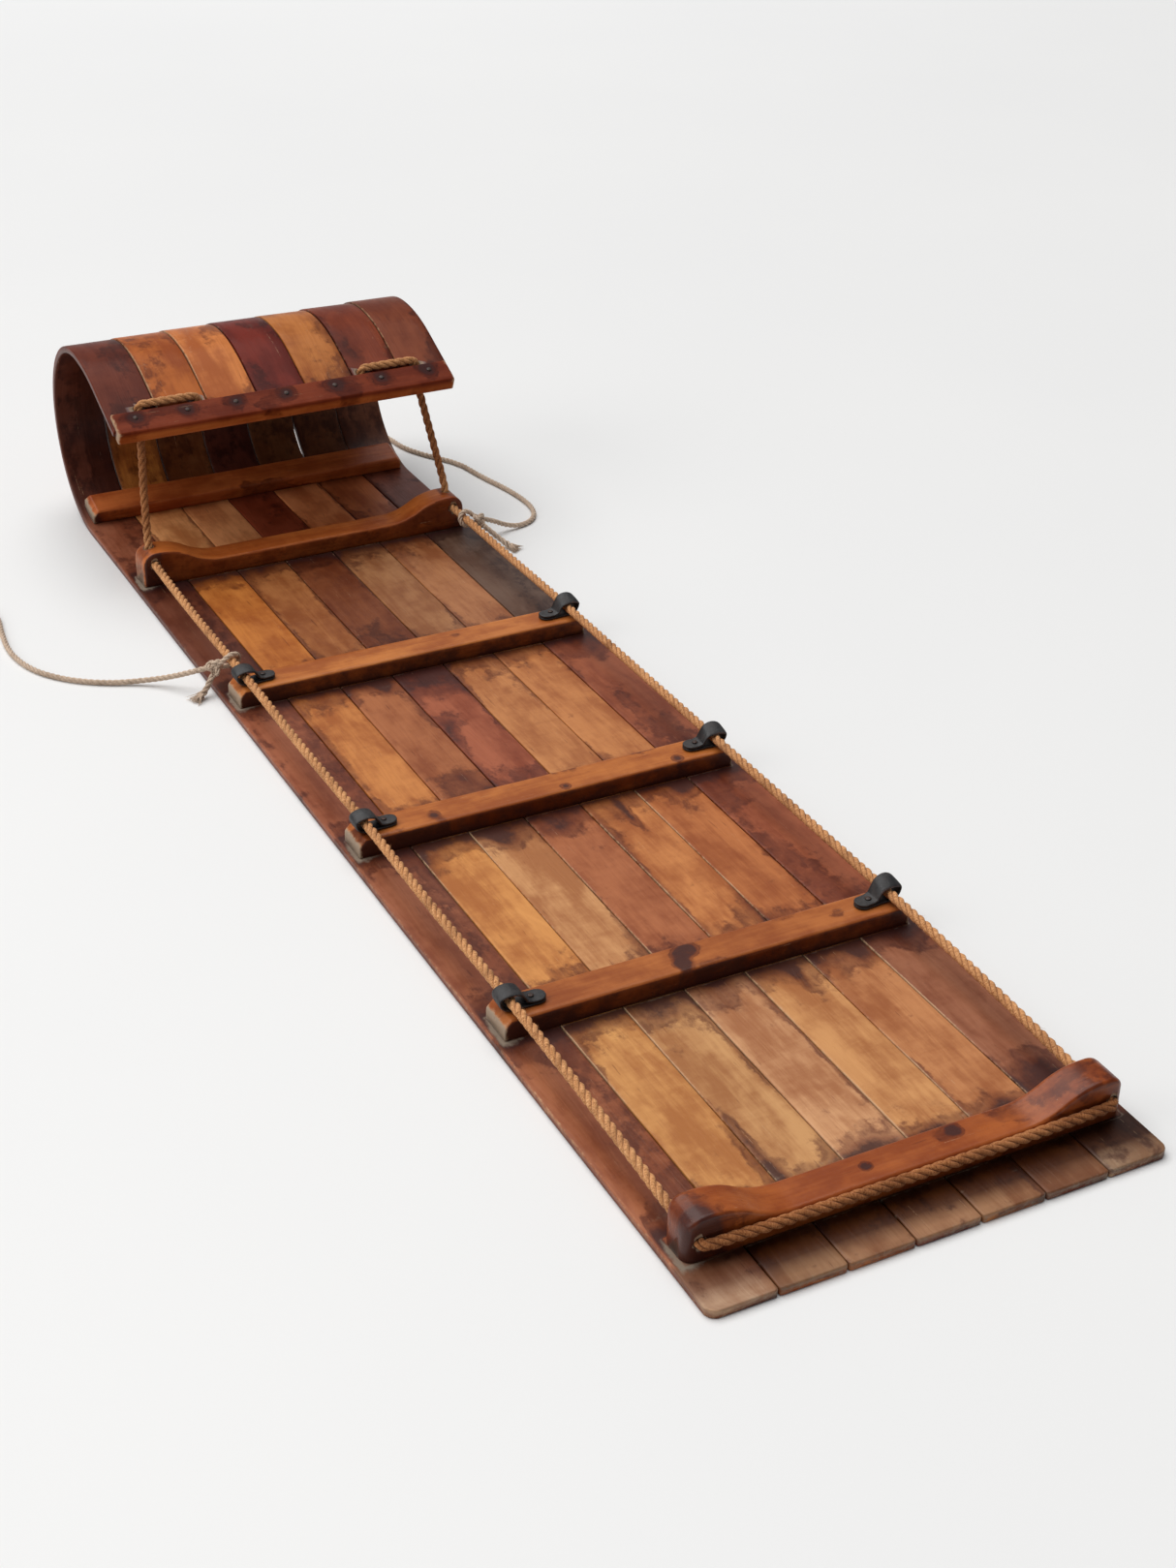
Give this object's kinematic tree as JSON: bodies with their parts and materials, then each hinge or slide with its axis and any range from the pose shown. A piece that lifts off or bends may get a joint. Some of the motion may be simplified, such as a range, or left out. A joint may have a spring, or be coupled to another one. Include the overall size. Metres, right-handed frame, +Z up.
{
  "type": "toboggan",
  "caption": "Wooden toboggan: bent slats curled up at the nose, crossbars, two yokes, a side rope held in leather loops, and a pull cord tied on each side.",
  "frame": {"origin": "on the ground under the middle of the toboggan's outline, measured without its two pull cords", "axes": "+Y along the deck towards the curled nose, +Z up, +X to the right of a rider who faces the nose"},
  "size_m": [0.8575, 1.8781, 0.254],
  "materials": {
    "wood_dark": "old varnish, worn",
    "wood_gold": "old varnish, worn",
    "wood_brown": "old varnish, worn",
    "wood_red": "old varnish, worn",
    "wood_bar": "old varnish, worn",
    "fastener": "dull, rusty",
    "leather": "worn black",
    "rope": "laid natural fibre",
    "pull_cord": "laid natural fibre, grey with age"
  },
  "bodies": {
    "toboggan": {"slat_1": "wood_dark", "slat_2": "wood_gold", "slat_3": "wood_brown", "slat_4": "wood_red", "slat_5": "wood_gold", "slat_6": "wood_brown", "slat_7": "wood_dark", "nose_batten": "wood_bar", "foot_bar": "wood_bar", "front_yoke": "wood_bar", "crossbar_1": "wood_bar", "crossbar_2": "wood_bar", "crossbar_3": "wood_bar", "rear_yoke": "wood_bar", "foot_bar_screws": "fastener", "front_yoke_screws": "fastener", "crossbar_1_screws": "fastener", "crossbar_2_screws": "fastener", "crossbar_3_screws": "fastener", "rear_yoke_screws": "fastener", "nose_batten_nails": "fastener", "loop_nails": "fastener", "side_rope": "rope", "rope_knot_left": "rope", "rope_knot_right": "rope", "pull_cord_left": "pull_cord", "pull_coil_left": "pull_cord", "pull_knot_left": "pull_cord", "pull_tail_left": "pull_cord", "pull_end_left": "pull_cord", "pull_cord_right": "pull_cord", "pull_coil_right": "pull_cord", "pull_knot_right": "pull_cord", "pull_tail_right": "pull_cord", "pull_end_right": "pull_cord"},
    "loop_left_1": {"loop_left_1": "leather"},
    "loop_left_2": {"loop_left_2": "leather"},
    "loop_left_3": {"loop_left_3": "leather"},
    "loop_right_1": {"loop_right_1": "leather"},
    "loop_right_2": {"loop_right_2": "leather"},
    "loop_right_3": {"loop_right_3": "leather"}
  },
  "joints": [
    {"name": "loop_left_1_swivel", "type": "hinge", "parent": "toboggan", "child": "loop_left_1", "pos_m": [-0.184, 0.2275, 0.0363], "axis": [0, 0, 1], "range_deg": [-8, 8]},
    {"name": "loop_left_2_swivel", "type": "hinge", "parent": "toboggan", "child": "loop_left_2", "pos_m": [-0.184, -0.1295, 0.0363], "axis": [0, 0, 1], "range_deg": [-8, 8]},
    {"name": "loop_left_3_swivel", "type": "hinge", "parent": "toboggan", "child": "loop_left_3", "pos_m": [-0.184, -0.4765, 0.0363], "axis": [0, 0, 1], "range_deg": [-8, 8]},
    {"name": "loop_right_1_swivel", "type": "hinge", "parent": "toboggan", "child": "loop_right_1", "pos_m": [0.184, 0.2275, 0.0363], "axis": [0, 0, 1], "range_deg": [-8, 8]},
    {"name": "loop_right_2_swivel", "type": "hinge", "parent": "toboggan", "child": "loop_right_2", "pos_m": [0.184, -0.1295, 0.0363], "axis": [0, 0, 1], "range_deg": [-8, 8]},
    {"name": "loop_right_3_swivel", "type": "hinge", "parent": "toboggan", "child": "loop_right_3", "pos_m": [0.184, -0.4765, 0.0363], "axis": [0, 0, 1], "range_deg": [-8, 8]}
  ]
}
